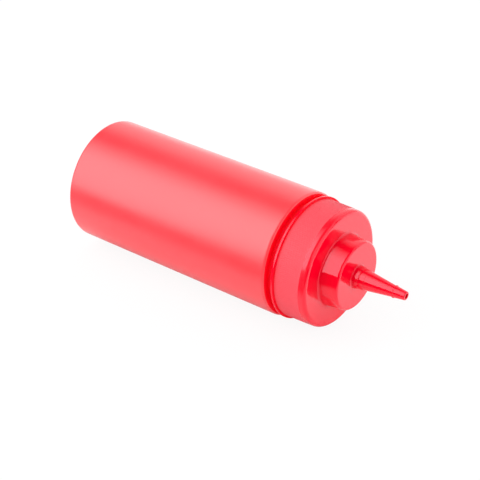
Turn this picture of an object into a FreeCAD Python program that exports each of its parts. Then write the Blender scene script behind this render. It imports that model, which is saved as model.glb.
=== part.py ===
import FreeCAD, Part
import math
import os
import Sketcher

# Squeeze bottle for sauce, lying on its side, in millimetres.
#
# Two pieces share one turning axis, which runs along X at a height of about one radius:
#   bottle  straight cylinder with a rounded base and shoulder, and a neck that enters the cap
#   cap     flanged skirt, front face, second tier and a stepped cone nozzle, moulded in one
#
# The origin is the middle of the whole length, on the surface that the bottle lies on.
# The nozzle points to +X. Each piece is drawn in its own frame with X = 0 at its back end
# and the turning axis on local X; its Placement then puts it in the shared frame.

SIZES = [
    ("body_radius", 35.0, "outside radius of the bottle"),
    ("body_length", 138.5, "base to shoulder face"),
    ("base_round", 1.8, "round of the base corner"),
    ("base_rim", 7.5, "width of the rim round the recess in the base"),
    ("recess_depth", 1.2, "depth of the recess in the base"),
    ("shoulder_round", 2.0, "round of the shoulder corner"),
    ("neck_root_round", 0.8, "inside round where neck meets shoulder"),
    ("neck_engagement", 14.0, "length of neck held inside the cap"),
    ("neck_end_round", 0.6, "round of the neck's end"),
    ("rest_depth", 0.25, "depth of the flat spot that the bottle lies on"),
    ("cap_gap", 3.8, "open groove between shoulder and cap"),
    ("cap_depth", 20.5, "back of the flange to the front face"),
    ("flange_setback", 0.6, "how far the flange's rim stands inside the bottle's wall line"),
    ("flange_width", 1.15, "how far the flange stands out from the skirt"),
    ("flange_thickness", 1.6, "thickness of the flange"),
    ("flange_round", 0.45, "round of both flange rims"),
    ("skirt_draft", 0.5, "radius that the skirt loses from flange to front face"),
    ("skirt_wall", 2.35, "thickness of the skirt at the flange"),
    ("socket_clearance", 0.3, "radial play between neck and skirt"),
    ("skirt_root_round", 0.3, "inside round between flange and skirt"),
    ("face_round", 2.3, "round of the front corner"),
    ("tier_radius", 20.3, "radius of the second tier at the front face"),
    ("tier_draft", 1.1, "radius that the tier loses from foot to face"),
    ("tier_height", 10.9, "front face to tier face"),
    ("tier_root_round", 1.1, "inside round at the foot of the tier"),
    ("tier_round", 0.8, "round of the tier's front corner"),
    ("collar_radius", 6.15, "radius of the first nozzle step"),
    ("collar_length", 3.5, "length of the first nozzle step"),
    ("collar_root_round", 0.8, "inside round at the foot of the nozzle"),
    ("stub_step", 0.25, "step in from the first nozzle step to the second"),
    ("stub_length", 3.5, "length of the second nozzle step"),
    ("cone_step", 0.45, "step in from the second nozzle step to the cone"),
    ("cone_length", 15.8, "length of the cone up to the cutting mark"),
    ("mark_step", 0.2, "step out at the cutting mark"),
    ("tip_length", 7.25, "length of the tip piece"),
    ("tip_draft", 1.0, "radius that the tip piece loses from the mark to its end"),
    ("tip_radius", 2.35, "radius of the tip's end, before its round"),
    ("tip_round", 0.45, "round of the tip's end"),
    ("step_round", 0.15, "round of the small nozzle steps"),
    ("tip_wall", 0.9, "wall round the opening in the tip"),
    ("orifice_depth", 12.0, "depth of the opening"),
]

SHEET = "Sizes"

# Two lengths nearer than this, in millimetres, are the same.
CLOSE = 1e-4

# The least volume, in cubic millimetres, that a cut must take away.
LEAST_CUT = 1e-3

# Distances along the axis that several features share, as expressions on the sheet.
FACE = "Sizes.cap_depth"
TIER_FACE = FACE + " + Sizes.tier_height"
COLLAR_END = TIER_FACE + " + Sizes.collar_length"
STUB_END = COLLAR_END + " + Sizes.stub_length"
CONE_END = STUB_END + " + Sizes.cone_length"
TIP_END = CONE_END + " + Sizes.tip_length"
CAP_START = "Sizes.body_length + Sizes.cap_gap"
OVERALL_LENGTH = CAP_START + " + " + TIP_END
NECK_END = CAP_START + " + Sizes.neck_engagement"
AXIS_HEIGHT = "Sizes.body_radius - Sizes.rest_depth"
RECESS_RADIUS = "Sizes.body_radius - Sizes.base_rim"

# Radii that follow from another piece or step, from the wall line inwards.
FLANGE_RADIUS = "Sizes.body_radius - Sizes.flange_setback"
SKIRT_RADIUS = FLANGE_RADIUS + " - Sizes.flange_width"
FACE_RADIUS = SKIRT_RADIUS + " - Sizes.skirt_draft"
SOCKET_RADIUS = SKIRT_RADIUS + " - Sizes.skirt_wall"
NECK_RADIUS = SOCKET_RADIUS + " - Sizes.socket_clearance"
TIER_FRONT_RADIUS = "Sizes.tier_radius - Sizes.tier_draft"
STUB_RADIUS = "Sizes.collar_radius - Sizes.stub_step"
CONE_RADIUS = STUB_RADIUS + " - Sizes.cone_step"
TIP_BACK_RADIUS = "Sizes.tip_radius + Sizes.tip_draft"
MARK_RADIUS = TIP_BACK_RADIUS + " - Sizes.mark_step"
ORIFICE_RADIUS = "Sizes.tip_radius - Sizes.tip_wall"


def add_sheet(doc):
    """The spreadsheet of driving dimensions: meaning, value and alias in each row."""
    sheet = doc.addObject("Spreadsheet::Sheet", SHEET)
    for row, (alias, value, meaning) in enumerate(SIZES, start=1):
        sheet.set(f"A{row}", meaning)
        sheet.set(f"B{row}", str(value))
        sheet.setAlias(f"B{row}", alias)
    doc.recompute()
    return sheet


def origin_plane(body, role):
    """The body's own origin plane with this role."""
    for feature in body.Origin.OriginFeatures:
        if feature.Role == role:
            return feature
    raise RuntimeError(f"{body.Label} has no {role}")


def add_sketch(body, name, role):
    """An empty sketch on one of the body's origin planes."""
    sketch = body.newObject("Sketcher::SketchObject", name)
    sketch.AttachmentSupport = [(origin_plane(body, role), "")]
    sketch.MapMode = "FlatFace"
    return sketch


def number(owner, expression):
    """The present value of an expression on the sheet."""
    return float(owner.evalExpression(expression))


def drive(sketch, kind, geometry, point, expression):
    """Hold one coordinate of a point at an expression, or on the axis where it is zero."""
    if expression == "0":
        axis = {"DistanceX": -2, "DistanceY": -1}[kind]
        sketch.addConstraint(Sketcher.Constraint("PointOnObject", geometry, point, axis))
        return
    size = number(sketch, expression)
    index = sketch.addConstraint(Sketcher.Constraint(kind, -1, 1, geometry, point, size))
    sketch.setExpression(f"Constraints[{index}]", expression)


def add_outline(sketch, corners):
    """A closed outline of straight sides; each corner is a pair (along, out) of expressions."""
    places = [FreeCAD.Vector(number(sketch, along), number(sketch, out), 0) for along, out in corners]
    count = len(corners)
    for index in range(count):
        side = Part.LineSegment(places[index], places[(index + 1) % count])
        sketch.addGeometry(side, False)
    for index in range(count):
        following = (index + 1) % count
        sketch.addConstraint(Sketcher.Constraint("Coincident", index, 2, following, 1))
    for index, (along, out) in enumerate(corners):
        drive(sketch, "DistanceX", index, 1, along)
        drive(sketch, "DistanceY", index, 1, out)


def turn(body, name, corners):
    """A solid of revolution about local X."""
    sketch = add_sketch(body, f"{name}_outline", "XZ_Plane")
    add_outline(sketch, corners)
    revolution = body.newObject("PartDesign::Revolution", name)
    revolution.Profile = sketch
    revolution.ReferenceAxis = (sketch, ["H_Axis"])
    revolution.Angle = 360
    body.Document.recompute()
    return revolution


def ring_edges(feature, along, out):
    """Names of the circular edges round the axis at one corner of the outline."""
    found = []
    for index, edge in enumerate(feature.Shape.Edges, start=1):
        curve = edge.Curve
        if not isinstance(curve, Part.Circle):
            continue
        off_axis = math.hypot(curve.Center.y, curve.Center.z)
        misses = [off_axis, abs(curve.Center.x - along), abs(curve.Radius - out)]
        if max(misses) < CLOSE:
            found.append(f"Edge{index}")
    if not found:
        raise RuntimeError(f"{feature.Label} has no ring at {along:.3f}, {out:.3f}")
    return found


def round_rings(body, name, corners, radius):
    """Round the rings that stand at these corners of the outline."""
    base = body.Tip
    names = []
    for along, out in corners:
        names += ring_edges(base, number(base, along), number(base, out))
    fillet = body.newObject("PartDesign::Fillet", name)
    fillet.Base = (base, names)
    fillet.setExpression("Radius", radius)
    body.Document.recompute()
    return fillet


def check_cut(body, before, name):
    """Stop if a cut took nothing away."""
    body.Document.recompute()
    if body.Shape.Volume > before - LEAST_CUT:
        raise RuntimeError(f"{name} cut nothing from {body.Label}")


def bore(body, name, radius, start, depth, into_plus_x):
    """A round hole on the axis, from the plane at start and for depth along X."""
    before = body.Shape.Volume
    sketch = add_sketch(body, f"{name}_circle", "YZ_Plane")
    sketch.setExpression("AttachmentOffset.Base.z", start)
    circle = Part.Circle(FreeCAD.Vector(0, 0, 0), FreeCAD.Vector(0, 0, 1), number(sketch, radius))
    sketch.addGeometry(circle, False)
    sketch.addConstraint(Sketcher.Constraint("Coincident", 0, 3, -1, 1))
    index = sketch.addConstraint(Sketcher.Constraint("Radius", 0, number(sketch, radius)))
    sketch.setExpression(f"Constraints[{index}]", radius)
    pocket = body.newObject("PartDesign::Pocket", name)
    pocket.Profile = sketch
    pocket.Type = "Length"
    pocket.setExpression("Length", depth)
    pocket.Reversed = into_plus_x
    check_cut(body, before, name)
    return pocket


def flatten_underside(body, name, axis_height, width, length):
    """Cut away what lies lower than axis_height below the axis, over the whole length."""
    before = body.Shape.Volume
    sketch = add_sketch(body, f"{name}_block", "YZ_Plane")
    half = number(sketch, width) / 2
    top = -number(sketch, axis_height)
    bottom = top - half
    corners = [(-half, top), (half, top), (half, bottom), (-half, bottom)]
    places = [FreeCAD.Vector(across, up, 0) for across, up in corners]
    for index in range(4):
        sketch.addGeometry(Part.LineSegment(places[index], places[(index + 1) % 4]), False)
    for index in range(4):
        sketch.addConstraint(Sketcher.Constraint("Coincident", index, 2, (index + 1) % 4, 1))
    for index in (1, 3):
        sketch.addConstraint(Sketcher.Constraint("Vertical", index))
    sketch.addConstraint(Sketcher.Constraint("Horizontal", 2))
    sketch.addConstraint(Sketcher.Constraint("Symmetric", 0, 1, 0, 2, -2))
    sizes = [
        (("DistanceY", 0, 1, -1, 1, -top), axis_height),
        (("DistanceX", 0, 1, 0, 2, 2 * half), width),
        (("DistanceY", 1, 2, 1, 1, half), f"({width}) / 2"),
    ]
    for constraint, expression in sizes:
        index = sketch.addConstraint(Sketcher.Constraint(*constraint))
        sketch.setExpression(f"Constraints[{index}]", expression)
    pocket = body.newObject("PartDesign::Pocket", name)
    pocket.Profile = sketch
    pocket.Type = "Length"
    pocket.setExpression("Length", length)
    pocket.Reversed = True
    check_cut(body, before, name)
    return pocket


def add_body(doc, label, start):
    """A body whose local X = 0 stands start beyond the bottle's base."""
    body = doc.addObject("PartDesign::Body", label.capitalize())
    body.Label = label
    body.setExpression("Placement.Base.x", f"{start} - ({OVERALL_LENGTH}) / 2")
    body.setExpression("Placement.Base.z", AXIS_HEIGHT)
    return body


def make_bottle(doc):
    """Body, shoulder and neck in one solid, with a recessed base and a flat spot to lie on."""
    body = add_body(doc, "bottle", "0")
    base_corner = ("0", "Sizes.body_radius")
    shoulder_corner = ("Sizes.body_length", "Sizes.body_radius")
    neck_root = ("Sizes.body_length", NECK_RADIUS)
    neck_end = (NECK_END, NECK_RADIUS)
    turn(body, "bottle_turned", [
        ("0", "0"), base_corner, shoulder_corner, neck_root, neck_end, (NECK_END, "0"),
    ])
    round_rings(body, "base_corner", [base_corner], "Sizes.base_round")
    round_rings(body, "shoulder_corner", [shoulder_corner], "Sizes.shoulder_round")
    round_rings(body, "neck_root", [neck_root], "Sizes.neck_root_round")
    round_rings(body, "neck_end", [neck_end], "Sizes.neck_end_round")
    bore(body, "base_recess", RECESS_RADIUS, "0", "Sizes.recess_depth", True)
    flatten_underside(body, "rest_flat", AXIS_HEIGHT, "Sizes.body_radius", "Sizes.body_length")
    return body


def make_cap(doc):
    """Flange, skirt, face, tier and nozzle in one solid, with a socket and the opening."""
    body = add_body(doc, "cap", CAP_START)
    flange_back = ("0", FLANGE_RADIUS)
    flange_front = ("Sizes.flange_thickness", FLANGE_RADIUS)
    skirt_root = ("Sizes.flange_thickness", SKIRT_RADIUS)
    face_corner = (FACE, FACE_RADIUS)
    tier_root = (FACE, "Sizes.tier_radius")
    tier_corner = (TIER_FACE, TIER_FRONT_RADIUS)
    collar_root = (TIER_FACE, "Sizes.collar_radius")
    collar_end = (COLLAR_END, "Sizes.collar_radius")
    stub_root = (COLLAR_END, STUB_RADIUS)
    stub_end = (STUB_END, STUB_RADIUS)
    cone_root = (STUB_END, CONE_RADIUS)
    cone_end = (CONE_END, MARK_RADIUS)
    tip_root = (CONE_END, TIP_BACK_RADIUS)
    tip_corner = (TIP_END, "Sizes.tip_radius")
    turn(body, "cap_turned", [
        ("0", "0"), flange_back, flange_front, skirt_root, face_corner, tier_root, tier_corner,
        collar_root, collar_end, stub_root, stub_end, cone_root, cone_end, tip_root, tip_corner,
        (TIP_END, "0"),
    ])
    round_rings(body, "flange_rims", [flange_back, flange_front], "Sizes.flange_round")
    round_rings(body, "skirt_root", [skirt_root], "Sizes.skirt_root_round")
    round_rings(body, "face_corner", [face_corner], "Sizes.face_round")
    round_rings(body, "tier_root", [tier_root], "Sizes.tier_root_round")
    round_rings(body, "tier_corner", [tier_corner], "Sizes.tier_round")
    round_rings(body, "collar_root", [collar_root], "Sizes.collar_root_round")
    round_rings(body, "tip_corner", [tip_corner], "Sizes.tip_round")
    round_rings(body, "nozzle_steps", [collar_end, stub_end, tip_root], "Sizes.step_round")
    bore(body, "socket", SOCKET_RADIUS, "0", "Sizes.neck_engagement", True)
    bore(body, "orifice", ORIFICE_RADIUS, TIP_END, "Sizes.orifice_depth", False)
    return body


def check_document(doc, bodies):
    """Stop if any object failed or a piece isn't one valid solid."""
    doc.recompute()
    for item in doc.Objects:
        if "Invalid" in item.State or "Error" in item.State:
            raise RuntimeError(f"{item.Label} failed: {item.State}")
    for body in bodies:
        shape = body.Shape
        if shape.isNull() or not shape.isValid() or len(shape.Solids) != 1:
            raise RuntimeError(f"{body.Label} is not one valid solid")


def main():
    doc = FreeCAD.newDocument("squeeze_bottle")
    add_sheet(doc)
    bodies = [make_bottle(doc), make_cap(doc)]
    check_document(doc, bodies)
    os.makedirs("parts", exist_ok=True)
    for body in bodies:
        body.Shape.exportStep(f"parts/{body.Label}.step")
        box = body.Shape.optimalBoundingBox()
        print(f"{body.Label}: {body.Shape.Volume / 1000:.1f} cm3, "
              f"x {box.XMin:.2f} to {box.XMax:.2f}, y {box.YMin:.2f} to {box.YMax:.2f}, "
              f"z {box.ZMin:.2f} to {box.ZMax:.2f}")


main()
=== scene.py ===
import math

import bmesh
import bpy
from bpy.props import FloatProperty, FloatVectorProperty, IntProperty, PointerProperty
from bpy.types import NodeSocket, Operator, Panel, PropertyGroup
from mathutils import Matrix, Quaternion, Vector


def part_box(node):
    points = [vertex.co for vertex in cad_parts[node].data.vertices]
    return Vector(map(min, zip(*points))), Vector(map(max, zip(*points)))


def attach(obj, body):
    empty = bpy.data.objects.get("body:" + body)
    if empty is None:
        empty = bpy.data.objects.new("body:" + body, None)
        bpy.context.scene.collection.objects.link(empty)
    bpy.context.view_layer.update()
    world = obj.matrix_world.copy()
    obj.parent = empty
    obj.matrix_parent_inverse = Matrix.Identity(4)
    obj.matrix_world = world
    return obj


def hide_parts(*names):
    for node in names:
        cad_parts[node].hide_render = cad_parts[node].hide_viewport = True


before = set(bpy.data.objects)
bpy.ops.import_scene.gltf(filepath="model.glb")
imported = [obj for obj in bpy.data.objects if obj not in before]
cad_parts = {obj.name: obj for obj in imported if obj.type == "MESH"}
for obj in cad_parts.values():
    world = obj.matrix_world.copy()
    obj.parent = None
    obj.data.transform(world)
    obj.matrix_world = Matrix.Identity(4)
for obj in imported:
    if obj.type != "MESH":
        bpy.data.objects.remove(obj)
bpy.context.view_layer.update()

bl_info = {
    "name": "Squeeze Bottle",
    "version": (1, 0, 0),
    "blender": (4, 5, 0),
    "location": "3D View > Sidebar > Squeeze Bottle",
    "description": "Builds a squeeze bottle with a ribbed cone cap, lying in a small studio",
    "category": "Add Mesh",
}

MM = 0.001

# The construction's boxes, in metres. The turning axis runs along X through their middle.
BOTTLE_LOW, BOTTLE_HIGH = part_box("bottle")
CAP_LOW, CAP_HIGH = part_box("cap")
WALL_RADIUS = (BOTTLE_HIGH.y - BOTTLE_LOW.y) / 2
AXIS_HEIGHT = BOTTLE_HIGH.z - WALL_RADIUS
REST_HEIGHT = BOTTLE_LOW.z
BASE_PLACE = BOTTLE_LOW.x
CAP_PLACE = CAP_LOW.x
CAP_LENGTH = CAP_HIGH.x - CAP_LOW.x
NECK_END = BOTTLE_HIGH.x - BASE_PLACE


# Properties


def length(label, meaning, millimetres):
    """A length that the user may change, given here in millimetres."""
    return FloatProperty(name=label, description=meaning, default=millimetres * MM,
                         min=0.0, subtype="DISTANCE", unit="LENGTH", precision=5)


def angle(label, meaning, degrees):
    """An angle that the user may change, given here in degrees."""
    return FloatProperty(name=label, description=meaning, default=math.radians(degrees),
                         subtype="ANGLE", unit="ROTATION")


def colour(label, meaning, red, green, blue):
    """A scene-linear colour that the user may change."""
    return FloatVectorProperty(name=label, description=meaning, default=(red, green, blue),
                               min=0.0, max=1.0, size=3, subtype="COLOR")


def factor(label, meaning, value, highest=1.0):
    """A plain number that the user may change."""
    return FloatProperty(name=label, description=meaning, default=value, min=0.0, max=highest)


class BottleSizes(PropertyGroup):
    """Outline of the bottle from its base to the end of its neck."""
    body_length: length("Body length", "Base to shoulder face", 138.5)
    base_round: length("Base round", "Round of the base corner", 1.8)
    recess_depth: length("Recess depth", "How far the middle of the base is set in", 1.2)
    recess_radius: length("Recess radius", "Radius of the recess at the base", 27.5)
    recess_slope: length("Recess slope", "Width of the recess's sloping edge", 2.0)
    recess_round: length("Recess round", "Rounds of the recess's edge", 1.2)
    shoulder_round: length("Shoulder round", "Round of the shoulder corner", 2.0)
    neck_radius: length("Neck radius", "Outside radius of the neck", 30.6)
    neck_root_round: length("Neck root round", "Inside round where neck meets shoulder", 0.8)
    neck_end_round: length("Neck end round", "Round of the neck's end", 0.6)


class CapSizes(PropertyGroup):
    """Outline of the cap from its flange to the face of its second tier."""
    depth: length("Cap depth", "Back of the flange to the front face", 20.5)
    socket_radius: length("Socket radius", "Radius of the socket for the neck", 30.9)
    socket_depth: length("Socket depth", "Length of neck held in the cap", 14.0)
    flange_radius: length("Flange radius", "Outside radius of the flange", 34.4)
    flange_thickness: length("Flange thickness", "Thickness of the flange", 1.3)
    flange_round: length("Flange round", "Round of the flange's rims", 0.38)
    flange_front_round: length("Flange front round", "Round of the flange's edge toward the skirt", 0.15)
    crease_width: length("Crease width", "Width of the matt crease in front of the flange", 0.5)
    skirt_back: length("Skirt back radius", "Radius between the ribs at the flange", 33.1)
    skirt_front: length("Skirt front radius", "Radius of the smooth band at the front", 32.75)
    skirt_root_round: length("Skirt root round", "Inside round at the flange", 0.3)
    face_round: length("Face round", "Round of the front corner", 2.3)
    tier_back: length("Tier radius", "Radius of the second tier at the front face", 20.5)
    tier_front: length("Tier front radius", "Radius of the second tier at its own face", 19.15)
    tier_height: length("Tier height", "Front face to tier face", 10.9)
    tier_root_round: length("Tier root round", "Inside round at the foot of the tier", 1.1)
    tier_sink: length("Tier sink", "How far the side of the tier is drawn in as the plastic shrinks", 0.35)
    tier_sink_place: length("Tier sink place", "Front face to the deepest place of the sink", 4.7)
    tier_sink_round: length("Tier sink round", "Radius of the sink's hollow", 26.0)
    tier_round: length("Tier round", "Round of the tier's front corner", 1.5)


class NozzleSizes(PropertyGroup):
    """Outline of the nozzle from the tier face to its tip and into the opening."""
    root_round: length("Root round", "Inside round at the foot of the nozzle", 0.8)
    collar_back: length("Collar back radius", "Radius of the first step at the tier face", 6.5)
    collar_front: length("Collar radius", "Radius of the first step at its end", 5.95)
    collar_length: length("Collar length", "Length of the first step", 3.5)
    stub_back: length("Stub back radius", "Radius of the second step at its start", 5.75)
    stub_front: length("Stub radius", "Radius of the second step at its end", 5.5)
    stub_length: length("Stub length", "Length of the second step", 3.5)
    cone_back: length("Cone radius", "Radius at the start of the cone", 5.3)
    cone_front: length("Mark radius", "Radius of the cone at the cutting mark", 3.15)
    cone_length: length("Cone length", "Length of the cone up to the cutting mark", 15.8)
    bead_radius: length("Bead radius", "Radius of the small bead at the mark", 3.5)
    bead_width: length("Bead width", "Width of the bead at the mark", 0.7)
    bead_round: length("Bead round", "Round of the bead's edges", 0.2)
    tip_back: length("Tip back radius", "Radius of the tip piece in front of the bead", 3.2)
    tip_front: length("Tip radius", "Radius of the tip's end", 2.35)
    tip_round: length("Tip round", "Round of the tip's end", 0.45)
    step_round: length("Step round", "Round of the small steps", 0.12)
    orifice_radius: length("Orifice radius", "Radius of the opening", 1.45)
    orifice_depth: length("Orifice depth", "Depth of the opening", 12.0)


class RibSizes(PropertyGroup):
    """The fine ribs round the skirt."""
    count: IntProperty(name="Ribs", description="Ribs round the skirt", default=200, min=8)
    start: length("Start", "First end of the ribs, from the back of the flange", 2.0)
    end: length("End", "Last end of the ribs, from the back of the flange", 16.4)
    width: length("Width", "Width of a rib at its foot", 0.78)
    height: length("Height", "How far a rib stands out", 0.06)


class Finish(PropertyGroup):
    """Colours and gloss of the plastics."""
    wall_colour: colour("Wall colour", "Soft plastic of the bottle", 0.94, 0.020, 0.036)
    cap_colour: colour("Cap colour", "Hard plastic of the cap", 0.92, 0.0, 0.016)
    wall_roughness: factor("Wall roughness", "Satin sheen of the bottle", 0.34)
    neck_roughness: factor("Neck roughness", "Dull finish of the neck and shoulder face", 0.62)
    cap_roughness: factor("Cap roughness", "Gloss of the cap", 0.07)
    corner_roughness: factor("Corner roughness", "Half polish of the corner before the face", 0.17)
    skirt_roughness: factor("Skirt roughness", "Dull finish of the skirt", 0.8)
    crease_roughness: factor("Crease roughness", "Matt finish of the crease at the flange", 0.6)


class Studio(PropertyGroup):
    """Camera, lamps and floor."""
    azimuth: angle("Azimuth", "Direction the camera looks from, round Z", 37.735)
    elevation: angle("Elevation", "Height the camera looks from", 31.727)
    roll: angle("Roll", "Turn of the camera about its own line of sight", -0.15)
    distance: length("Distance", "Camera to the point it looks at", 800.0)
    lens: FloatProperty(name="Lens", description="Focal length in millimetres on a 36 mm sensor",
                        default=105.465, min=1.0)
    key_radiance: factor("Key radiance", "Brightness of the large softbox", 1.7, 20.0)
    back_radiance: factor("Back radiance", "Brightness of the low panel behind", 0.7, 20.0)
    end_radiance: factor("End radiance", "Brightness of the panel beyond the nozzle", 0.75, 20.0)
    fill: factor("Fill", "Even light of the room", 0.86, 5.0)
    dark: factor("Dark", "Brightness of the room between the panels, as gloss shows it", 0.012, 5.0)
    # Painted shade and painted glow on the floor, seen only in reflections: dark just in front of the
    # bottle, white behind it.
    floor_painted_shade: factor("Floor mirror", "Share of dark that gloss shows on the floor just in front", 0.5)
    floor_painted_glow: factor("Floor rear", "Share of plain white that gloss shows on the floor behind", 0.5)
    floor_glow: factor("Floor glow", "Share of the floor's white that ignores shadow", 0.91)


# Turned outlines


# Sides of the arc that rounds a corner, and where its two supporting rings lie, as a share of its reach.
ARC_STEPS = 7
SUPPORT_SHARE = 0.25

# Sides round the axis, and the radius in metres below which a ring is one point on the axis.
SEGMENTS = 192
ON_AXIS = 1e-7


def rounded_outline(corners):
    """Points of a turned outline. Each corner is (along, out, round); a round becomes an arc."""
    points = []
    last = len(corners) - 1
    for index, (along, out, radius) in enumerate(corners):
        corner = Vector((along, out))
        if radius == 0 or index in (0, last):
            points.append(corner)
            continue
        before = (Vector(corners[index - 1][:2]) - corner).normalized()
        after = (Vector(corners[index + 1][:2]) - corner).normalized()
        half = before.angle(after) / 2
        reach = radius / math.tan(half)
        centre = corner + (before + after).normalized() * radius / math.sin(half)
        first = corner + before * reach
        final = corner + after * reach
        points.append(first + before * reach * SUPPORT_SHARE)
        for step in range(ARC_STEPS + 1):
            spoke = (first - centre).lerp(final - centre, step / ARC_STEPS)
            points.append(centre + spoke.normalized() * radius)
        points.append(final + after * reach * SUPPORT_SHARE)
    return points


def divided(points, longest):
    """The same outline with sides longer than this cut into equal parts."""
    result = [points[0]]
    for previous, point in zip(points, points[1:]):
        parts = max(1, math.ceil((point - previous).length / longest))
        for part in range(1, parts + 1):
            result.append(previous.lerp(point, part / parts))
    return result


def ring_of(shape, along, out):
    """The points of one ring round the bottle's axis, or a single point on it."""
    if out < ON_AXIS:
        return [shape.verts.new((along, 0.0, AXIS_HEIGHT))]
    ring = []
    for segment in range(SEGMENTS):
        turn = math.tau * segment / SEGMENTS
        side = -out * math.sin(turn)
        up = out * math.cos(turn)
        ring.append(shape.verts.new((along, side, AXIS_HEIGHT + up)))
    return ring


def turned_mesh(name, outline, place):
    """A closed solid of revolution about the bottle's axis; the outline starts and ends on it."""
    shape = bmesh.new()
    rings = [ring_of(shape, place + along, out) for along, out in outline]
    for back, front in zip(rings, rings[1:]):
        for segment in range(SEGMENTS):
            following = (segment + 1) % SEGMENTS
            if len(back) == 1:
                shape.faces.new((back[0], front[segment], front[following]))
            elif len(front) == 1:
                shape.faces.new((back[segment], front[0], back[following]))
            else:
                shape.faces.new((back[segment], front[segment], front[following], back[following]))
    bmesh.ops.recalc_face_normals(shape, faces=shape.faces)
    mesh = bpy.data.meshes.new(name)
    shape.to_mesh(mesh)
    shape.free()
    mesh.shade_smooth()
    return mesh


def linked(name, data):
    """An object for a mesh, lamp or camera at the origin, in the scene."""
    piece = bpy.data.objects.new(name, data)
    bpy.context.scene.collection.objects.link(piece)
    return piece


def finished(piece, node):
    """Tie the piece to the construction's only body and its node."""
    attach(piece, "root")
    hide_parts(node)


# Node helpers


def fill_inputs(node, values):
    """Fill a node's inputs, by name or number, with plain values or with other nodes' outputs."""
    for name, value in values.items():
        if isinstance(value, NodeSocket):
            node.id_data.links.new(value, node.inputs[name])
        else:
            node.inputs[name].default_value = value


def new_node(tree, kind, inputs=None, **settings):
    """A node with these inputs and settings."""
    node = tree.nodes.new(kind)
    for name, value in settings.items():
        setattr(node, name, value)
    fill_inputs(node, inputs or {})
    return node


def arithmetic(tree, operation, *values):
    """The result of a Math node on plain values or other nodes' outputs."""
    node = new_node(tree, "ShaderNodeMath", dict(enumerate(values)), operation=operation)
    return node.outputs["Value"]


def mapped(tree, value, reach, result, interpolation="LINEAR"):
    """What runs from one end of the result to the other while the value runs through its reach."""
    node = new_node(tree, "ShaderNodeMapRange", {
        "Value": value, "From Min": reach[0], "From Max": reach[1],
        "To Min": result[0], "To Max": result[1],
    }, interpolation_type=interpolation)
    return node.outputs["Result"]


def vector(tree, **parts):
    """A vector of plain values or other nodes' outputs, given as X, Y and Z."""
    return new_node(tree, "ShaderNodeCombineXYZ", parts).outputs["Vector"]


def new_group(name, kind, inputs, outputs):
    """A new node group with these sockets, each a name and its kind, and what its inputs give."""
    group = bpy.data.node_groups.new(name, kind)
    for side, sockets in (("INPUT", inputs), ("OUTPUT", outputs)):
        for label, value_kind in sockets.items():
            group.interface.new_socket(label, in_out=side, socket_type=f"NodeSocket{value_kind}")
    return group, new_node(group, "NodeGroupInput").outputs


# Materials


# Where the halves of the mould met: the angle from upright, and half the width of the line.
PARTING_TURN = math.radians(40.0)
PARTING_WIDTH = 0.22 * MM

# The slow wave in a moulded wall is longer along the bottle than round it.
WAVE_STRETCH = (0.35, 1.0, 1.0)

# Mottling: its scale, the reach of its values, and what it does to red, green and blue at its strongest.
MOTTLE_SCALE = 45.0
MOTTLE_REACH = (0.3, 0.7)
MOTTLE_TINT = (0.965, 1.15, 1.15)

# Share of the wall's blue that is left in the neck's deeper red, which is painted shade for the groove.
NECK_BLUE_SHARE = 0.4

# How far red, green and blue light scatter in the plastics, as shares of their subsurface scale.
WALL_SCATTER = (1.0, 0.08, 0.08)
CAP_SCATTER = (1.0, 0.05, 0.08)

# Tint of the hard plastic's reflections.
COOL_GLOSS = (0.86, 0.86, 1.0, 1.0)


def noise(tree, place, scale, detail, roughness):
    """Cloudy values from 0 to 1."""
    node = new_node(tree, "ShaderNodeTexNoise",
                    {"Vector": place, "Scale": scale, "Detail": detail, "Roughness": roughness})
    return node.outputs["Fac"]


def moulded_skin_group():
    """Fine unevenness of moulded plastic.

    Height is the grain of the mould over a slow wave, and Mottle a cloudy pattern from 0 to 1.
    """
    found = bpy.data.node_groups.get("Moulded skin")
    if found:
        return found
    group, given = new_group("Moulded skin", "ShaderNodeTree", {
        "Vector": "Vector", "Grain scale": "Float", "Wave scale": "Float", "Wave share": "Float",
        "Mottle scale": "Float",
    }, {"Height": "Float", "Mottle": "Float"})
    stretched = new_node(group, "ShaderNodeMapping", {"Vector": given["Vector"], "Scale": WAVE_STRETCH})
    grain = noise(group, given["Vector"], given["Grain scale"], detail=3.0, roughness=0.6)
    wave = noise(group, stretched.outputs["Vector"], given["Wave scale"], detail=1.0, roughness=0.4)
    mottle = noise(group, given["Vector"], given["Mottle scale"], detail=4.0, roughness=0.55)
    height = arithmetic(group, "MULTIPLY_ADD", wave, given["Wave share"], grain)
    new_node(group, "NodeGroupOutput", {"Height": height, "Mottle": mottle})
    return group


def parting_line_group():
    """The raised line where the two halves of a mould met, as a mask from 0 to 1.

    The halves meet in a plane through the bottle's axis; Turn is its angle from upright.
    """
    found = bpy.data.node_groups.get("Parting line")
    if found:
        return found
    group, given = new_group("Parting line", "ShaderNodeTree",
                             {"Vector": "Vector", "Turn": "Float", "Width": "Float"}, {"Line": "Float"})
    turned = new_node(group, "ShaderNodeVectorRotate", {
        "Vector": given["Vector"], "Center": (0.0, 0.0, AXIS_HEIGHT), "Angle": given["Turn"],
    }, rotation_type="X_AXIS")
    split = new_node(group, "ShaderNodeSeparateXYZ", {"Vector": turned.outputs["Vector"]})
    away = arithmetic(group, "ABSOLUTE", split.outputs["Y"])
    line = mapped(group, away, (0.0, given["Width"]), (1.0, 0.0), "SMOOTHSTEP")
    new_node(group, "NodeGroupOutput", {"Line": line})
    return group


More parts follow.
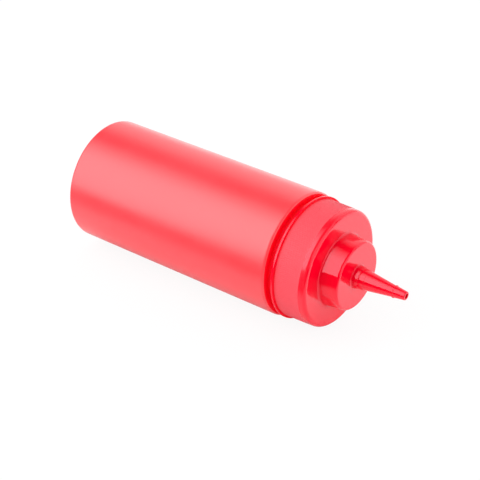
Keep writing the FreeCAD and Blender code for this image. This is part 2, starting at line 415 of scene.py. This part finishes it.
def plastic(name, base, roughness, spread, grain_scale, grain_depth, wave_scale, wave_share,
            surface, line_depth=0.0):
    """A moulded plastic with its own gloss, mottling, grain and parting line, made once.

    Spread is how far the mottling changes the roughness. Surface holds what is the same all over.
    """
    found = bpy.data.materials.get(name)
    if found:
        return found
    material = bpy.data.materials.new(name)
    material.use_nodes = True
    tree = material.node_tree
    place = new_node(tree, "ShaderNodeTexCoord").outputs["Object"]
    skin = new_node(tree, "ShaderNodeGroup", node_tree=moulded_skin_group())
    fill_inputs(skin, {"Vector": place, "Grain scale": grain_scale, "Wave scale": wave_scale,
                       "Wave share": wave_share, "Mottle scale": MOTTLE_SCALE})
    seam = new_node(tree, "ShaderNodeGroup", node_tree=parting_line_group())
    fill_inputs(seam, {"Vector": place, "Turn": PARTING_TURN, "Width": PARTING_WIDTH})
    gloss = mapped(tree, skin.outputs["Mottle"], MOTTLE_REACH, (roughness - spread, roughness + spread))
    deeper = [part * share for part, share in zip(base, MOTTLE_TINT)]
    tint = new_node(tree, "ShaderNodeMix",
                    {"Factor": skin.outputs["Mottle"], "A": (*base, 1.0), "B": (*deeper, 1.0)},
                    data_type="RGBA")
    relief = arithmetic(tree, "MULTIPLY_ADD", seam.outputs["Line"], line_depth / grain_depth,
                        skin.outputs["Height"])
    bump = new_node(tree, "ShaderNodeBump", {"Strength": 1.0, "Distance": grain_depth, "Height": relief})
    shader = tree.nodes["Principled BSDF"]
    fill_inputs(shader, surface)
    fill_inputs(shader, {"Base Color": tint.outputs["Result"], "Roughness": gloss,
                         "Normal": bump.outputs["Normal"]})
    return material


def wall_material(finish):
    """Satin, slightly waxy soft plastic of the bottle."""
    return plastic("Soft wall", finish.wall_colour, finish.wall_roughness, spread=0.03,
                   grain_scale=900.0, grain_depth=0.02 * MM, wave_scale=30.0, wave_share=8.0,
                   line_depth=0.06 * MM,
                   surface={"IOR": 1.6, "Specular IOR Level": 1.0,
                            "Coat Weight": 0.5, "Coat Roughness": 0.3,
                            "Subsurface Weight": 0.35, "Subsurface Scale": 0.012,
                            "Subsurface Radius": WALL_SCATTER,
                            "Sheen Weight": 0.11, "Sheen Roughness": 0.45})


def neck_shaded_material(finish):
    """The same soft plastic on the neck and shoulder face, dull, in a deeper red that is painted shade for
    the groove under the cap.
    """
    # Painted shade: no green and less blue, so the groove comes out a deep red.
    shade = (finish.wall_colour[0], 0.0, finish.wall_colour[2] * NECK_BLUE_SHARE)
    return plastic("Dull neck with painted shade", shade, finish.neck_roughness, spread=0.05,
                   grain_scale=1100.0, grain_depth=0.03 * MM, wave_scale=60.0, wave_share=2.0,
                   line_depth=0.08 * MM,
                   surface={"IOR": 1.45, "Specular IOR Level": 0.12,
                            "Subsurface Weight": 0.5, "Subsurface Scale": 0.012,
                            "Subsurface Radius": WALL_SCATTER})


def cap_material(finish):
    """Glossy hard plastic of the cap."""
    return plastic("Hard gloss", finish.cap_colour, finish.cap_roughness, spread=0.015,
                   grain_scale=1400.0, grain_depth=0.002 * MM, wave_scale=120.0, wave_share=6.0,
                   surface={"Specular IOR Level": 1.0, "Specular Tint": COOL_GLOSS,
                            "Coat Weight": 0.12, "Coat Roughness": 0.04})


def skirt_material(finish):
    """The same hard plastic with the dull finish of the ribbed skirt."""
    return plastic("Hard dull", finish.cap_colour, finish.skirt_roughness, spread=0.04,
                   grain_scale=500.0, grain_depth=0.004 * MM, wave_scale=120.0, wave_share=1.0,
                   surface={"IOR": 1.7, "Specular IOR Level": 1.0, "Specular Tint": COOL_GLOSS,
                            "Coat Weight": 0.7, "Coat Roughness": 0.6})


def corner_material(finish):
    """The same hard plastic, half polished, on the corner between the skirt and the face."""
    return plastic("Hard satin", finish.cap_colour, finish.corner_roughness, spread=0.02,
                   grain_scale=900.0, grain_depth=0.003 * MM, wave_scale=120.0, wave_share=2.0,
                   surface={"Specular IOR Level": 1.0, "Specular Tint": COOL_GLOSS,
                            "Coat Weight": 0.3, "Coat Roughness": 0.25})


def crease_material(finish):
    """The same hard plastic, matt and deep in colour, in the crease between the flange and the skirt."""
    return plastic("Hard matt", finish.cap_colour, finish.crease_roughness, spread=0.04,
                   grain_scale=500.0, grain_depth=0.004 * MM, wave_scale=120.0, wave_share=1.0,
                   surface={"Specular IOR Level": 0.15,
                            "Subsurface Weight": 0.5, "Subsurface Scale": 0.006,
                            "Subsurface Radius": CAP_SCATTER})


# Bottle


# Longest side of the bottle's outline, and the share of the shoulder's round that is dull like the neck
# and carries its painted shade.
WALL_STEP = 4 * MM
SHOULDER_DULL_SHADED = 1 / 6


def bottle_corners(size):
    """Corners of the bottle, from the middle of its base to the middle of its neck's end."""
    return [
        (size.recess_depth, 0.0, 0.0),
        (size.recess_depth, size.recess_radius - size.recess_slope, size.recess_round),
        (0.0, size.recess_radius, size.recess_round),
        (0.0, WALL_RADIUS, size.base_round),
        (size.body_length, WALL_RADIUS, size.shoulder_round),
        (size.body_length, size.neck_radius, size.neck_root_round),
        (NECK_END, size.neck_radius, size.neck_end_round),
        (NECK_END, 0.0, 0.0),
    ]


class SQUEEZE_OT_bottle(Operator):
    """Add the bottle: base, straight wall, shoulder and neck"""
    bl_idname = "squeeze.bottle"
    bl_label = "Bottle"

    def execute(self, context):
        size = context.scene.squeeze_bottle
        finish = context.scene.squeeze_finish
        outline = divided(rounded_outline(bottle_corners(size)), WALL_STEP)
        mesh = turned_mesh("bottle_wall", outline, BASE_PLACE)
        for vertex in mesh.vertices:
            vertex.co.z = max(vertex.co.z, REST_HEIGHT)
        mesh.materials.append(wall_material(finish))
        mesh.materials.append(neck_shaded_material(finish))
        dull_shaded_from = size.body_length - size.shoulder_round * SHOULDER_DULL_SHADED
        # The shoulder face and the neck get the dull material with painted shade.
        for face in mesh.polygons:
            if face.center.x - BASE_PLACE > dull_shaded_from:
                face.material_index = 1
        finished(linked("bottle_wall", mesh), "bottle")
        return {"FINISHED"}


# Cap shell


# Longest side of the shell's outline, how far round the socket the back of the flange counts with it,
# and how far the matt crease reaches past its own edges.
SHELL_STEP = 5 * MM
SOCKET_LIP = 1 * MM
CREASE_SLACK = 0.02 * MM

# The shell's materials, in the order of its slots.
GLOSS, DULL, SATIN, MATT = range(4)


def skirt_radius(cap, along):
    """Radius of the skirt between its ribs, this far from the back of the flange."""
    share = (along - cap.flange_thickness) / (cap.depth - cap.flange_thickness)
    return cap.skirt_back + (cap.skirt_front - cap.skirt_back) * share


def shell_corners(size, ribs):
    """Corners of the shell, from the bottom of its socket round the flange to the middle of its face."""
    return [
        (size.socket_depth, 0.0, 0.0),
        (size.socket_depth, size.socket_radius, size.skirt_root_round),
        (0.0, size.socket_radius, size.flange_round),
        (0.0, size.flange_radius, size.flange_round),
        (size.flange_thickness, size.flange_radius, size.flange_front_round),
        (size.flange_thickness, size.skirt_back, size.skirt_root_round),
        (ribs.end, skirt_radius(size, ribs.end), 0.0),
        (size.depth, size.skirt_front, size.face_round),
        (size.depth, 0.0, 0.0),
    ]


def shell_finish(size, ribs, centre):
    """Which of the shell's materials a face with this centre gets."""
    along = centre.x - CAP_PLACE
    out = math.hypot(centre.y, centre.z - AXIS_HEIGHT)
    if out < size.socket_radius + SOCKET_LIP:
        return GLOSS
    if abs(along - size.flange_thickness - size.crease_width / 2) < size.crease_width / 2 + CREASE_SLACK:
        return MATT
    if size.flange_thickness < along < ribs.end:
        return DULL
    if ribs.end < along < size.depth - size.face_round / 2:
        return SATIN
    return GLOSS


class SQUEEZE_OT_shell(Operator):
    """Add the cap's shell: flange, skirt and front face"""
    bl_idname = "squeeze.shell"
    bl_label = "Cap shell"

    def execute(self, context):
        size = context.scene.squeeze_cap
        ribs = context.scene.squeeze_ribs
        finish = context.scene.squeeze_finish
        outline = divided(rounded_outline(shell_corners(size, ribs)), SHELL_STEP)
        mesh = turned_mesh("cap_shell", outline, CAP_PLACE)
        for material in (cap_material, skirt_material, corner_material, crease_material):
            mesh.materials.append(material(finish))
        for face in mesh.polygons:
            face.material_index = shell_finish(size, ribs, face.center)
        finished(linked("cap_shell", mesh), "cap")
        return {"FINISHED"}


# Tier and nozzle


# How far the tier's back lies inside the shell, and how far its foot lies below the front face.
TIER_BURIED = 1 * MM
FOOT_SINK = 0.01 * MM


def tier_corners(size):
    """Corners of the second tier, from its back inside the shell to the edge of its face."""
    face = size.depth
    foot = size.tier_back + 2 * size.tier_root_round
    sink_share = size.tier_sink_place / size.tier_height
    sink_radius = size.tier_back + (size.tier_front - size.tier_back) * sink_share - size.tier_sink
    return [
        (face - TIER_BURIED, 0.0, 0.0),
        (face - TIER_BURIED, foot, 0.0),
        (face - FOOT_SINK, foot, 0.0),
        (face - FOOT_SINK, size.tier_back, size.tier_root_round),
        (face + size.tier_sink_place, sink_radius, size.tier_sink_round),
        (face + size.tier_height, size.tier_front, size.tier_round),
    ]


def nozzle_corners(size, foot):
    """Corners of the nozzle, from its foot on the tier's face to the bottom of its opening."""
    collar_end = foot + size.collar_length
    stub_end = collar_end + size.stub_length
    cone_end = stub_end + size.cone_length
    bead_end = cone_end + size.bead_width
    bore_end = CAP_LENGTH - size.orifice_depth
    step = size.step_round / 2
    return [
        (foot, size.collar_back, size.root_round),
        (collar_end, size.collar_front, step),
        (collar_end, size.stub_back, step),
        (stub_end, size.stub_front, step),
        (stub_end, size.cone_back, step),
        (cone_end, size.cone_front, step),
        (cone_end, size.bead_radius, size.bead_round),
        (bead_end, size.bead_radius, size.bead_round),
        (bead_end, size.tip_back, step),
        (CAP_LENGTH, size.tip_front, size.tip_round),
        (CAP_LENGTH, size.orifice_radius, size.step_round),
        (bore_end, size.orifice_radius, size.step_round),
        (bore_end, 0.0, 0.0),
    ]


class SQUEEZE_OT_tier(Operator):
    """Add the second tier with the nozzle and its opening"""
    bl_idname = "squeeze.tier"
    bl_label = "Tier and nozzle"

    def execute(self, context):
        size = context.scene.squeeze_cap
        nozzle = context.scene.squeeze_nozzle
        tier_face = size.depth + size.tier_height
        outline = rounded_outline(tier_corners(size) + nozzle_corners(nozzle, tier_face))
        mesh = turned_mesh("cap_tier", outline, CAP_PLACE)
        mesh.materials.append(cap_material(context.scene.squeeze_finish))
        finished(linked("cap_tier", mesh), "cap")
        return {"FINISHED"}


# Skirt ribs


# Rings along a rib, sides round it, its size at its two ends, and the share of its length to full size.
RIB_STATIONS = 7
RIB_SIDES = 8
RIB_END_SHARE = 0.35
RIB_TAPER = 0.12


def rib_rail(tree, given):
    """The line that a rib follows, from the skirt's back radius to its front radius."""
    drop = arithmetic(tree, "SUBTRACT", given["Front radius"], given["Back radius"])
    end = vector(tree, X=given["Length"], Z=drop)
    rail = new_node(tree, "GeometryNodeCurvePrimitiveLine", {"End": end})
    stations = new_node(tree, "GeometryNodeResampleCurve",
                        {"Curve": rail.outputs["Curve"], "Count": RIB_STATIONS})
    return stations.outputs["Curve"]


def rib_taper(tree):
    """Size of a rib along its length: both its ends run out into the skirt."""
    along = new_node(tree, "GeometryNodeSplineParameter")
    taper = new_node(tree, "ShaderNodeFloatCurve", {"Value": along.outputs["Factor"]})
    curve = taper.mapping.curves[0]
    curve.points[0].location = (0.0, RIB_END_SHARE)
    curve.points[1].location = (1.0, RIB_END_SHARE)
    curve.points.new(RIB_TAPER, 1.0)
    curve.points.new(1.0 - RIB_TAPER, 1.0)
    taper.mapping.update()
    return taper.outputs["Value"]


def rib_section(tree, given):
    """The oval of a rib, twice as high as the rib stands out, because half of it is in the skirt."""
    circle = new_node(tree, "GeometryNodeCurvePrimitiveCircle", {"Resolution": RIB_SIDES, "Radius": 0.5})
    height = arithmetic(tree, "MULTIPLY", given["Height"], 2.0)
    size = vector(tree, X=given["Width"], Y=height, Z=1.0)
    oval = new_node(tree, "GeometryNodeTransform", {"Geometry": circle.outputs["Curve"], "Scale": size})
    return oval.outputs["Geometry"]


def rib_bar(tree, given):
    """One rib, swept along X at the top of the skirt."""
    bar = new_node(tree, "GeometryNodeCurveToMesh",
                   {"Curve": rib_rail(tree, given), "Profile Curve": rib_section(tree, given),
                    "Scale": rib_taper(tree), "Fill Caps": True})
    placed = new_node(tree, "GeometryNodeTransform",
                      {"Geometry": bar.outputs["Mesh"],
                       "Translation": vector(tree, X=given["Start"], Z=given["Back radius"])})
    smooth = new_node(tree, "GeometryNodeSetShadeSmooth", {"Geometry": placed.outputs["Geometry"]})
    return smooth.outputs["Geometry"]


def copies_round(tree, given, bar):
    """Copies of the bar at equal steps round the bottle's axis."""
    stations = new_node(tree, "GeometryNodePoints", {"Count": given["Count"]})
    index = new_node(tree, "GeometryNodeInputIndex")
    share = arithmetic(tree, "DIVIDE", index.outputs["Index"], given["Count"])
    turn = arithmetic(tree, "MULTIPLY", share, math.tau)
    copies = new_node(tree, "GeometryNodeInstanceOnPoints",
                      {"Points": stations.outputs["Points"], "Instance": bar,
                       "Rotation": vector(tree, X=turn)})
    raised = new_node(tree, "GeometryNodeTransform",
                      {"Geometry": copies.outputs["Instances"],
                       "Translation": vector(tree, Z=given["Axis height"])})
    return raised.outputs["Geometry"]


def rib_tree():
    """Geometry Nodes that set bars round the bottle's axis, sunk into a tapering skirt."""
    tree, given = new_group("Skirt ribs", "GeometryNodeTree", {
        "Count": "Int", "Start": "Float", "Length": "Float", "Back radius": "Float",
        "Front radius": "Float", "Width": "Float", "Height": "Float", "Axis height": "Float",
        "Material": "Material",
    }, {"Geometry": "Geometry"})
    ring = copies_round(tree, given, rib_bar(tree, given))
    real = new_node(tree, "GeometryNodeRealizeInstances", {"Geometry": ring})
    coated = new_node(tree, "GeometryNodeSetMaterial",
                      {"Geometry": real.outputs["Geometry"], "Material": given["Material"]})
    new_node(tree, "NodeGroupOutput", {"Geometry": coated.outputs["Geometry"]})
    return tree


def grown(name, tree, values):
    """The plain mesh that a Geometry Nodes tree makes with these named inputs."""
    seed = linked(name, bpy.data.meshes.new(f"{name}_seed"))
    modifier = seed.modifiers.new("Nodes", "NODES")
    modifier.node_group = tree
    for item in tree.interface.items_tree:
        if item.item_type == "SOCKET" and item.in_out == "INPUT":
            modifier[item.identifier] = values[item.name]
    bpy.context.view_layer.update()
    evaluated = seed.evaluated_get(bpy.context.evaluated_depsgraph_get())
    mesh = bpy.data.meshes.new_from_object(evaluated)
    seed.modifiers.remove(modifier)
    seed.data = mesh
    if not mesh.polygons:
        raise RuntimeError(f"{name} came out empty")
    return seed


class SQUEEZE_OT_ribs(Operator):
    """Add the fine ribs round the skirt"""
    bl_idname = "squeeze.ribs"
    bl_label = "Skirt ribs"

    def execute(self, context):
        size = context.scene.squeeze_ribs
        cap = context.scene.squeeze_cap
        ribs = grown("cap_ribs", rib_tree(), {
            "Count": size.count,
            "Start": CAP_PLACE + size.start,
            "Length": size.end - size.start,
            "Back radius": skirt_radius(cap, size.start),
            "Front radius": skirt_radius(cap, size.end),
            "Width": size.width,
            "Height": size.height,
            "Axis height": AXIS_HEIGHT,
            "Material": skirt_material(context.scene.squeeze_finish),
        })
        finished(ribs, "cap")
        return {"FINISHED"}


# Studio


# The point that the camera looks at.
AIM = Vector((-0.01690, 0.01445, 0.01682))
SENSOR_WIDTH = 36.0

# Softboxes along the bottle. Each has its name, the studio's name for its brightness, the directions of
# its first and last edge in degrees from upright toward the front, the places of its two ends along X,
# and the degrees of its face that fade out: at its first edge, or at its last if the number is negative.
PANEL_DISTANCE = 0.8
PANELS = (
    ("Key softbox", "key_radiance", -10.0, 76.0, (-1.3, 0.02), 38.0),
    ("Low softbox", "key_radiance", 76.0, 107.0, (-1.3, -0.4), 0.0),
    ("Back panel", "back_radiance", -92.0, -24.0, (-0.9, 0.9), -26.0),
)

# The softbox beyond the nozzle: its width and height, its place and the way its back points.
END_SIZE = (1.2, 0.7)
END_PLACE = (0.95, 0.0, 0.42)
END_BACK = Vector((1.0, 0.0, 0.42))

WHITE = (1.0, 1.0, 1.0, 1.0)
FLOOR_WHITE = (0.9, 0.9, 0.9, 1.0)
FLOOR_HALF = 3.0
FLOOR_GAP = 0.2 * MM

# Where along Y the floor that gloss shows changes: from painted shade to the floor's own look in front of
# the bottle, to none of the painted shade under it, to a painted white glow behind it, and from the dark's
# tone to white's.
FRONT_CHANGE = (-0.12, -0.06)
UNDER_CHANGE = (-0.035, 0.01)
REAR_CHANGE = (0.0, 0.08)
TONE_CHANGE = (-0.005, 0.005)


def direction(azimuth, elevation):
    """Unit vector from the object to a point seen at this azimuth and elevation."""
    flat = math.cos(elevation)
    return Vector((math.sin(azimuth) * flat, -math.cos(azimuth) * flat, math.sin(elevation)))


def add_camera(studio):
    """The camera, looking at the middle of the object."""
    camera = bpy.data.cameras.new("Camera")
    camera.lens = studio.lens
    camera.sensor_width = SENSOR_WIDTH
    eye = linked("Camera", camera)
    back = direction(studio.azimuth, studio.elevation)
    eye.location = AIM + back * studio.distance
    level = back.to_track_quat("Z", "Y")
    eye.rotation_euler = (level @ Quaternion((0.0, 0.0, 1.0), studio.roll)).to_euler()
    bpy.context.scene.camera = eye


def area_lamp(name, width, height, radiance):
    """A rectangular lamp whose face has this brightness."""
    lamp = bpy.data.lights.new(name, "AREA")
    lamp.shape = "RECTANGLE"
    lamp.size = width
    lamp.size_y = height
    lamp.energy = radiance * math.pi * lamp.size * lamp.size_y
    return linked(name, lamp)


def fade_out(lamp, share):
    """Let this share of a lamp's face fade out: at its first edge, or at its last if it is negative."""
    lamp.use_nodes = True
    tree = lamp.node_tree
    face = new_node(tree, "ShaderNodeNewGeometry")
    split = new_node(tree, "ShaderNodeSeparateXYZ", {"Vector": face.outputs["Parametric"]})
    edge = 1.0 if share > 0 else 0.0
    strength = mapped(tree, split.outputs["Y"], (edge, edge - share), (0.0, 1.0))
    fill_inputs(tree.nodes["Emission"], {"Strength": strength})


def add_panel_light(name, radiance, first, last, ends, faded):
    """A softbox along the bottle, as the list of panels gives it."""
    along = Vector((1.0, 0.0, 0.0))
    turn = math.radians(last + first) / 2
    outward = Vector((0.0, -math.sin(turn), math.cos(turn)))
    height = 2 * PANEL_DISTANCE * math.tan(math.radians(last - first) / 2)
    light = area_lamp(name, ends[1] - ends[0], height, radiance)
    middle = Vector(((ends[0] + ends[1]) / 2, 0.0, AXIS_HEIGHT))
    light.location = middle + outward * PANEL_DISTANCE
    light.rotation_euler = Matrix((along, outward.cross(along), outward)).transposed().to_euler()
    if faded:
        fade_out(light.data, faded / (last - first))


def add_end_light(studio):
    """A softbox beyond the nozzle that lights the faces that look along the bottle."""
    light = area_lamp("End softbox", *END_SIZE, studio.end_radiance)
    light.location = END_PLACE
    light.rotation_euler = END_BACK.to_track_quat("Z", "Y").to_euler()


def add_world(studio):
    """A white room that lights the object softly, and is dark where gloss shows it."""
    world = bpy.data.worlds.new("Studio")
    world.use_nodes = True
    tree = world.node_tree
    path = new_node(tree, "ShaderNodeLightPath").outputs
    lighting = mapped(tree, path["Is Glossy Ray"], (0.0, 1.0), (studio.fill, studio.dark))
    strength = mapped(tree, path["Is Camera Ray"], (0.0, 1.0), (lighting, 1.0))
    fill_inputs(tree.nodes["Background"], {"Color": WHITE, "Strength": strength})
    bpy.context.scene.world = world


def floor_material(studio):
    """White paint that keeps a faint shadow.

    The camera sees most of it as plain white. Gloss sees painted shade on it in front of the bottle and a
    painted white glow behind it.
    """
    material = bpy.data.materials.new("White sweep")
    material.use_nodes = True
    tree = material.node_tree
    tree.nodes.clear()
    path = new_node(tree, "ShaderNodeLightPath").outputs
    place = new_node(tree, "ShaderNodeTexCoord").outputs["Object"]
    across = new_node(tree, "ShaderNodeSeparateXYZ", {"Vector": place}).outputs["Y"]

    # Painted shade in front and painted glow behind, for gloss only.
    front = mapped(tree, across, FRONT_CHANGE, (1.0, studio.floor_painted_shade), "SMOOTHSTEP")
    under = mapped(tree, across, UNDER_CHANGE, (1.0, 0.0), "SMOOTHSTEP")
    rear = mapped(tree, across, REAR_CHANGE, (0.0, studio.floor_painted_glow), "SMOOTHSTEP")
    tone = mapped(tree, across, TONE_CHANGE, (studio.dark, 1.0))
    ahead = arithmetic(tree, "MULTIPLY", front, under)
    either = arithmetic(tree, "MAXIMUM", ahead, rear)
    painted_for_gloss = arithmetic(tree, "MULTIPLY", either, path["Is Glossy Ray"])

    seen = arithmetic(tree, "MAXIMUM", path["Is Camera Ray"], path["Is Transmission Ray"])
    shown = arithmetic(tree, "MULTIPLY", seen, studio.floor_glow)
    share = arithmetic(tree, "MAXIMUM", shown, painted_for_gloss)
    level = mapped(tree, seen, (0.0, 1.0), (tone, 1.0))

    paint = new_node(tree, "ShaderNodeBsdfDiffuse", {"Color": FLOOR_WHITE})
    glow = new_node(tree, "ShaderNodeEmission", {"Strength": level})
    mix = new_node(tree, "ShaderNodeMixShader",
                   {"Fac": share, 1: paint.outputs["BSDF"], 2: glow.outputs["Emission"]})
    new_node(tree, "ShaderNodeOutputMaterial", {"Surface": mix.outputs["Shader"]})
    return material


def add_floor(studio):
    """A wide white floor just below the bottle's flat spot, which keeps its shadow."""
    height = REST_HEIGHT - FLOOR_GAP
    corners = [(-FLOOR_HALF, -FLOOR_HALF, height), (FLOOR_HALF, -FLOOR_HALF, height),
               (FLOOR_HALF, FLOOR_HALF, height), (-FLOOR_HALF, FLOOR_HALF, height)]
    mesh = bpy.data.meshes.new("Floor")
    mesh.from_pydata(corners, [], [(0, 1, 2, 3)])
    mesh.materials.append(floor_material(studio))
    linked("Floor", mesh)


class SQUEEZE_OT_studio(Operator):
    """Add the floor, the lamps, the room and the camera"""
    bl_idname = "squeeze.studio"
    bl_label = "Studio"

    def execute(self, context):
        studio = context.scene.squeeze_studio
        add_world(studio)
        add_floor(studio)
        add_camera(studio)
        for name, brightness, first, last, ends, faded in PANELS:
            add_panel_light(name, getattr(studio, brightness), first, last, ends, faded)
        add_end_light(studio)
        context.scene.view_settings.view_transform = "Standard"
        return {"FINISHED"}


class SQUEEZE_PT_panel(Panel):
    """The steps that build the squeeze bottle"""
    bl_idname = "SQUEEZE_PT_panel"
    bl_label = "Squeeze Bottle"
    bl_space_type = "VIEW_3D"
    bl_region_type = "UI"
    bl_category = "Squeeze Bottle"

    def draw(self, context):
        for operator in OPERATORS:
            self.layout.operator(operator.bl_idname)
        for attribute, group in PROPERTIES.items():
            box = self.layout.box()
            box.label(text=group.__name__)
            for name in group.__annotations__:
                box.prop(getattr(context.scene, attribute), name)


OPERATORS = (SQUEEZE_OT_bottle, SQUEEZE_OT_shell, SQUEEZE_OT_ribs, SQUEEZE_OT_tier, SQUEEZE_OT_studio)

PROPERTIES = {
    "squeeze_bottle": BottleSizes,
    "squeeze_cap": CapSizes,
    "squeeze_nozzle": NozzleSizes,
    "squeeze_ribs": RibSizes,
    "squeeze_finish": Finish,
    "squeeze_studio": Studio,
}


def register():
    for group in PROPERTIES.values():
        bpy.utils.register_class(group)
    for attribute, group in PROPERTIES.items():
        setattr(bpy.types.Scene, attribute, PointerProperty(type=group))
    for operator in OPERATORS:
        bpy.utils.register_class(operator)
    bpy.utils.register_class(SQUEEZE_PT_panel)


def unregister():
    bpy.utils.unregister_class(SQUEEZE_PT_panel)
    for operator in reversed(OPERATORS):
        bpy.utils.unregister_class(operator)
    for attribute in PROPERTIES:
        delattr(bpy.types.Scene, attribute)
    for group in reversed(PROPERTIES.values()):
        bpy.utils.unregister_class(group)


def main():
    register()
    bpy.ops.squeeze.bottle()
    bpy.ops.squeeze.shell()
    bpy.ops.squeeze.ribs()
    bpy.ops.squeeze.tier()
    bpy.ops.squeeze.studio()


if __name__ == "__main__":
    main()
